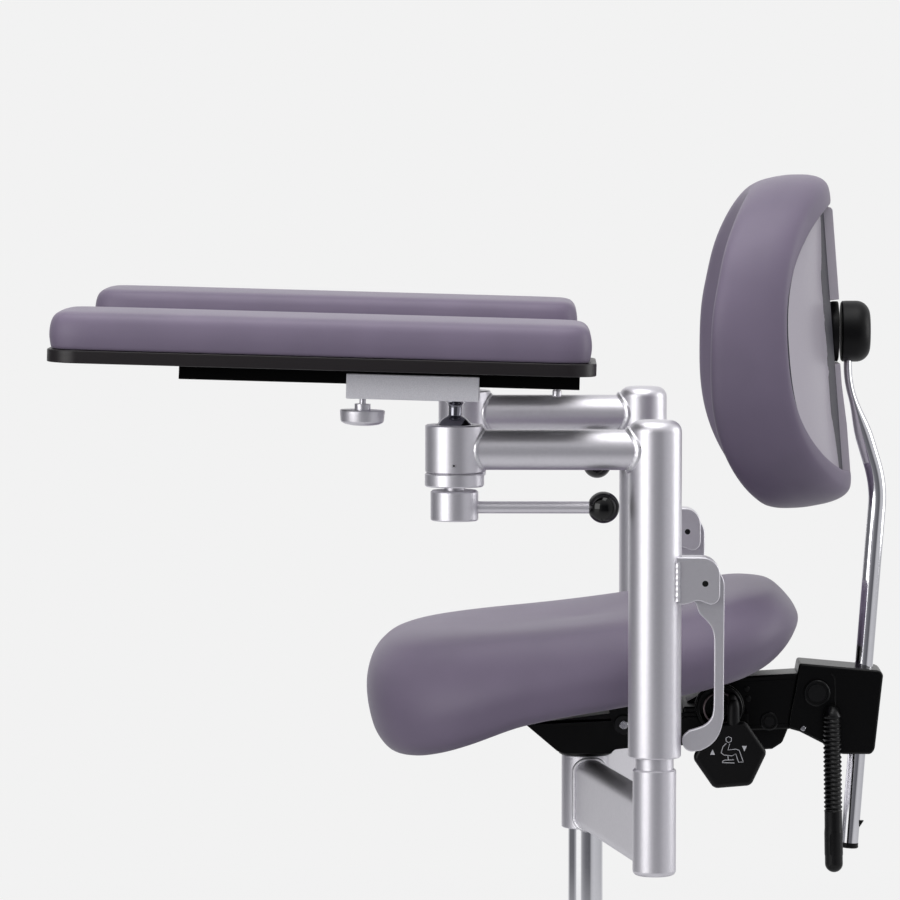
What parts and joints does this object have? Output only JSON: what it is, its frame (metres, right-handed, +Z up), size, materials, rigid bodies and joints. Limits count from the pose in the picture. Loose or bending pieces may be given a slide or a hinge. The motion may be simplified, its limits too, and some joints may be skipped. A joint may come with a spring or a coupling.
{
  "type": "operating stool",
  "caption": "Height-adjustable swivel stool with padded seat and backrest and two long arm pads on clamped ball joints.",
  "frame": {"origin": "on the floor under the lift column's axis", "axes": "+Z up, -Y the way the sitter faces, +X the sitter's left"},
  "size_m": [0.76, 0.8084, 1.0142],
  "materials": {
    "aluminium": "satin",
    "blasted_aluminium": "bead blasted",
    "chrome": "polished",
    "steel": "brushed",
    "black_steel": "satin black",
    "black_plastic": "matt",
    "gloss_black": "gloss",
    "leatherette": "fine grained leatherette",
    "shell_grey": "satin",
    "grey_rubber": "matt"
  },
  "bodies": {
    "base": {"star_base": "aluminium", "stand_tube": "aluminium", "column_bush": "black_plastic", "gas_rod": "steel"},
    "column": {"lift_column": "chrome"},
    "carrier": {"carrier": "aluminium", "mechanism_pan": "black_steel", "mechanism_pins": "steel", "back_arm": "black_steel"},
    "valve": {"valve_pin": "steel"},
    "height_lever": {"height_lever": "black_plastic"},
    "paddle": {"tilt_paddle": "black_plastic"},
    "seat": {"seat_plate": "black_steel", "seat_board": "black_plastic", "seat_cushion": "leatherette"},
    "back_frame": {"rear_bracket": "black_steel"},
    "back_lever": {"back_lever": "black_plastic"},
    "back_bar": {"back_bar": "chrome", "joint_cap": "black_plastic"},
    "back": {"joint_base": "black_plastic", "back_shell": "shell_grey", "back_cushion": "leatherette"},
    "castor_1": {"castor_1_hood": "black_plastic"},
    "castor_1_wheels": {"castor_1_wheels": "grey_rubber"},
    "castor_2": {"castor_2_hood": "black_plastic"},
    "castor_2_wheels": {"castor_2_wheels": "grey_rubber"},
    "castor_3": {"castor_3_hood": "black_plastic"},
    "castor_3_wheels": {"castor_3_wheels": "grey_rubber"},
    "castor_4": {"castor_4_hood": "black_plastic"},
    "castor_4_wheels": {"castor_4_wheels": "grey_rubber"},
    "castor_5": {"castor_5_hood": "black_plastic"},
    "castor_5_wheels": {"castor_5_wheels": "grey_rubber"},
    "left_bushes": {"left_post_bushes": "black_plastic"},
    "left_arm": {"left_arm": "aluminium", "left_clamp_ring": "aluminium"},
    "left_lock": {"left_lock_lever": "aluminium"},
    "left_cup": {"left_lower_seat": "black_plastic"},
    "left_ring": {"left_upper_seat": "black_plastic"},
    "left_carriage": {"left_ball_stud": "chrome", "left_slide_block": "blasted_aluminium"},
    "left_thumb": {"left_thumb_screw": "aluminium"},
    "left_handle": {"left_clamp_handle": "aluminium", "left_clamp_knob": "gloss_black"},
    "left_pad": {"left_pad_rail": "black_steel", "left_pad_board": "black_plastic", "left_pad": "leatherette"},
    "right_bushes": {"right_post_bushes": "black_plastic"},
    "right_arm": {"right_arm": "aluminium", "right_clamp_ring": "aluminium"},
    "right_lock": {"right_lock_lever": "aluminium"},
    "right_cup": {"right_lower_seat": "black_plastic"},
    "right_ring": {"right_upper_seat": "black_plastic"},
    "right_carriage": {"right_ball_stud": "chrome", "right_slide_block": "blasted_aluminium"},
    "right_thumb": {"right_thumb_screw": "aluminium"},
    "right_handle": {"right_clamp_handle": "aluminium", "right_clamp_knob": "gloss_black"},
    "right_pad": {"right_pad_rail": "black_steel", "right_pad_board": "black_plastic", "right_pad": "leatherette"}
  },
  "joints": [
    {"name": "lift_slide", "type": "slide", "parent": "base", "child": "column", "axis": [0, 0, 1], "range_m": [-0.075, 0.1]},
    {"name": "swivel", "type": "hinge", "parent": "column", "child": "carrier", "pos_m": [0, 0, 0.436], "axis": [0, 0, 1], "continuous": true},
    {"name": "valve_slide", "type": "slide", "parent": "column", "child": "valve", "axis": [0, 0, 1], "range_m": [-0.005, 0]},
    {"name": "height_lever_lift", "type": "hinge", "parent": "carrier", "child": "height_lever", "pos_m": [-0.0635, 0, 0.4615], "axis": [0, 1, 0], "range_deg": [0, 4], "stiffness_Nm_per_rad": 2},
    {"name": "tilt_paddle_turn", "type": "hinge", "parent": "carrier", "child": "paddle", "pos_m": [0, 0.1435, 0.4985], "axis": [1, 0, 0], "range_deg": [-15, 15]},
    {"name": "seat_tilt", "type": "hinge", "parent": "carrier", "child": "seat", "pos_m": [0, 0.037, 0.473], "axis": [1, 0, 0], "range_deg": [-3, 6]},
    {"name": "back_tilt", "type": "hinge", "parent": "carrier", "child": "back_frame", "pos_m": [0, 0.2295, 0.5005], "axis": [1, 0, 0], "range_deg": [-15, 8]},
    {"name": "back_lever_turn", "type": "hinge", "parent": "back_frame", "child": "back_lever", "pos_m": [0, 0.243, 0.4805], "axis": [1, 0, 0], "range_deg": [-15, 15]},
    {"name": "back_height", "type": "slide", "parent": "back_frame", "child": "back_bar", "axis": [0, 0.076, 0.9971], "range_m": [-0.05, 0.06]},
    {"name": "back_joint", "type": "hinge", "parent": "back_bar", "child": "back", "pos_m": [0, 0.266, 0.859], "axis": [1, 0, 0], "range_deg": [-5, 0]},
    {"name": "castor_1_swivel", "type": "hinge", "parent": "base", "child": "castor_1", "pos_m": [0, -0.29, 0.06], "axis": [0, 0, 1], "continuous": true},
    {"name": "castor_1_roll", "type": "hinge", "parent": "castor_1", "child": "castor_1_wheels", "pos_m": [0, -0.31, 0.03], "axis": [1, 0, 0], "continuous": true},
    {"name": "castor_2_swivel", "type": "hinge", "parent": "base", "child": "castor_2", "pos_m": [0.27581, -0.08962, 0.06], "axis": [0, 0, 1], "continuous": true},
    {"name": "castor_2_roll", "type": "hinge", "parent": "castor_2", "child": "castor_2_wheels", "pos_m": [0.29483, -0.0958, 0.03], "axis": [0.309, 0.9511, 0], "continuous": true},
    {"name": "castor_3_swivel", "type": "hinge", "parent": "base", "child": "castor_3", "pos_m": [0.17046, 0.23461, 0.06], "axis": [0, 0, 1], "continuous": true},
    {"name": "castor_3_roll", "type": "hinge", "parent": "castor_3", "child": "castor_3_wheels", "pos_m": [0.18221, 0.25079, 0.03], "axis": [-0.809, 0.5878, 0], "continuous": true},
    {"name": "castor_4_swivel", "type": "hinge", "parent": "base", "child": "castor_4", "pos_m": [-0.17046, 0.23461, 0.06], "axis": [0, 0, 1], "continuous": true},
    {"name": "castor_4_roll", "type": "hinge", "parent": "castor_4", "child": "castor_4_wheels", "pos_m": [-0.18221, 0.25079, 0.03], "axis": [-0.809, -0.5878, 0], "continuous": true},
    {"name": "castor_5_swivel", "type": "hinge", "parent": "base", "child": "castor_5", "pos_m": [-0.27581, -0.08962, 0.06], "axis": [0, 0, 1], "continuous": true},
    {"name": "castor_5_roll", "type": "hinge", "parent": "castor_5", "child": "castor_5_wheels", "pos_m": [-0.29483, -0.0958, 0.03], "axis": [0.309, -0.9511, 0], "continuous": true},
    {"name": "left_arm_height", "type": "slide", "parent": "carrier", "child": "left_bushes", "axis": [0, 0, 1], "range_m": [-0.009, 0.13]},
    {"name": "left_arm_swing", "type": "hinge", "parent": "left_bushes", "child": "left_arm", "pos_m": [0.3, 0.0625, 0.47], "axis": [0, 0, 1], "range_deg": [-8, 90]},
    {"name": "left_lock_open", "type": "hinge", "parent": "left_arm", "child": "left_lock", "pos_m": [0.3, 0.11, 0.6327], "axis": [1, 0, 0], "range_deg": [0, 40]},
    {"name": "left_ball_yaw", "type": "hinge", "parent": "left_arm", "child": "left_cup", "pos_m": [0.3, -0.126, 0.774], "axis": [0, 0, 1], "range_deg": [-15, 45]},
    {"name": "left_ball_roll", "type": "hinge", "parent": "left_cup", "child": "left_ring", "pos_m": [0.3, -0.126, 0.774], "axis": [0, 1, 0], "range_deg": [-15, 15]},
    {"name": "left_ball_pitch", "type": "hinge", "parent": "left_ring", "child": "left_carriage", "pos_m": [0.3, -0.126, 0.774], "axis": [1, 0, 0], "range_deg": [-6, 20]},
    {"name": "left_thumb_turn", "type": "hinge", "parent": "left_carriage", "child": "left_thumb", "pos_m": [0.3, -0.21297, 0.77635], "axis": [0, 0.027, 0.9996], "range_deg": [0, 180]},
    {"name": "left_pad_slide", "type": "slide", "parent": "left_carriage", "child": "left_pad", "axis": [0, 0.9996, -0.027], "range_m": [-0.068, 0.1]},
    {"name": "left_clamp_turn", "type": "hinge", "parent": "left_arm", "child": "left_handle", "pos_m": [0.3, -0.126, 0.7], "axis": [0, 0, -1], "range_deg": [0, 120]},
    {"name": "right_arm_height", "type": "slide", "parent": "carrier", "child": "right_bushes", "axis": [0, 0, 1], "range_m": [-0.009, 0.13]},
    {"name": "right_arm_swing", "type": "hinge", "parent": "right_bushes", "child": "right_arm", "pos_m": [-0.3, 0.0625, 0.47], "axis": [0, 0, -1], "range_deg": [-8, 90]},
    {"name": "right_lock_open", "type": "hinge", "parent": "right_arm", "child": "right_lock", "pos_m": [-0.3, 0.11, 0.6327], "axis": [1, 0, 0], "range_deg": [0, 40]},
    {"name": "right_ball_yaw", "type": "hinge", "parent": "right_arm", "child": "right_cup", "pos_m": [-0.3, -0.126, 0.774], "axis": [0, 0, -1], "range_deg": [-15, 45]},
    {"name": "right_ball_roll", "type": "hinge", "parent": "right_cup", "child": "right_ring", "pos_m": [-0.3, -0.126, 0.774], "axis": [0, 1, 0], "range_deg": [-15, 15]},
    {"name": "right_ball_pitch", "type": "hinge", "parent": "right_ring", "child": "right_carriage", "pos_m": [-0.3, -0.126, 0.774], "axis": [1, 0, 0], "range_deg": [-6, 20]},
    {"name": "right_thumb_turn", "type": "hinge", "parent": "right_carriage", "child": "right_thumb", "pos_m": [-0.3, -0.21297, 0.77635], "axis": [0, 0.027, 0.9996], "range_deg": [0, 180]},
    {"name": "right_pad_slide", "type": "slide", "parent": "right_carriage", "child": "right_pad", "axis": [0, 0.9996, -0.027], "range_m": [-0.06, 0.108]},
    {"name": "right_clamp_turn", "type": "hinge", "parent": "right_arm", "child": "right_handle", "pos_m": [-0.3, -0.126, 0.7], "axis": [0, 0, 1], "range_deg": [0, 120]}
  ],
  "couplings": [
    {"joint": "valve_slide", "follows": "height_lever_lift", "m_per_rad": -0.0635}
  ]
}
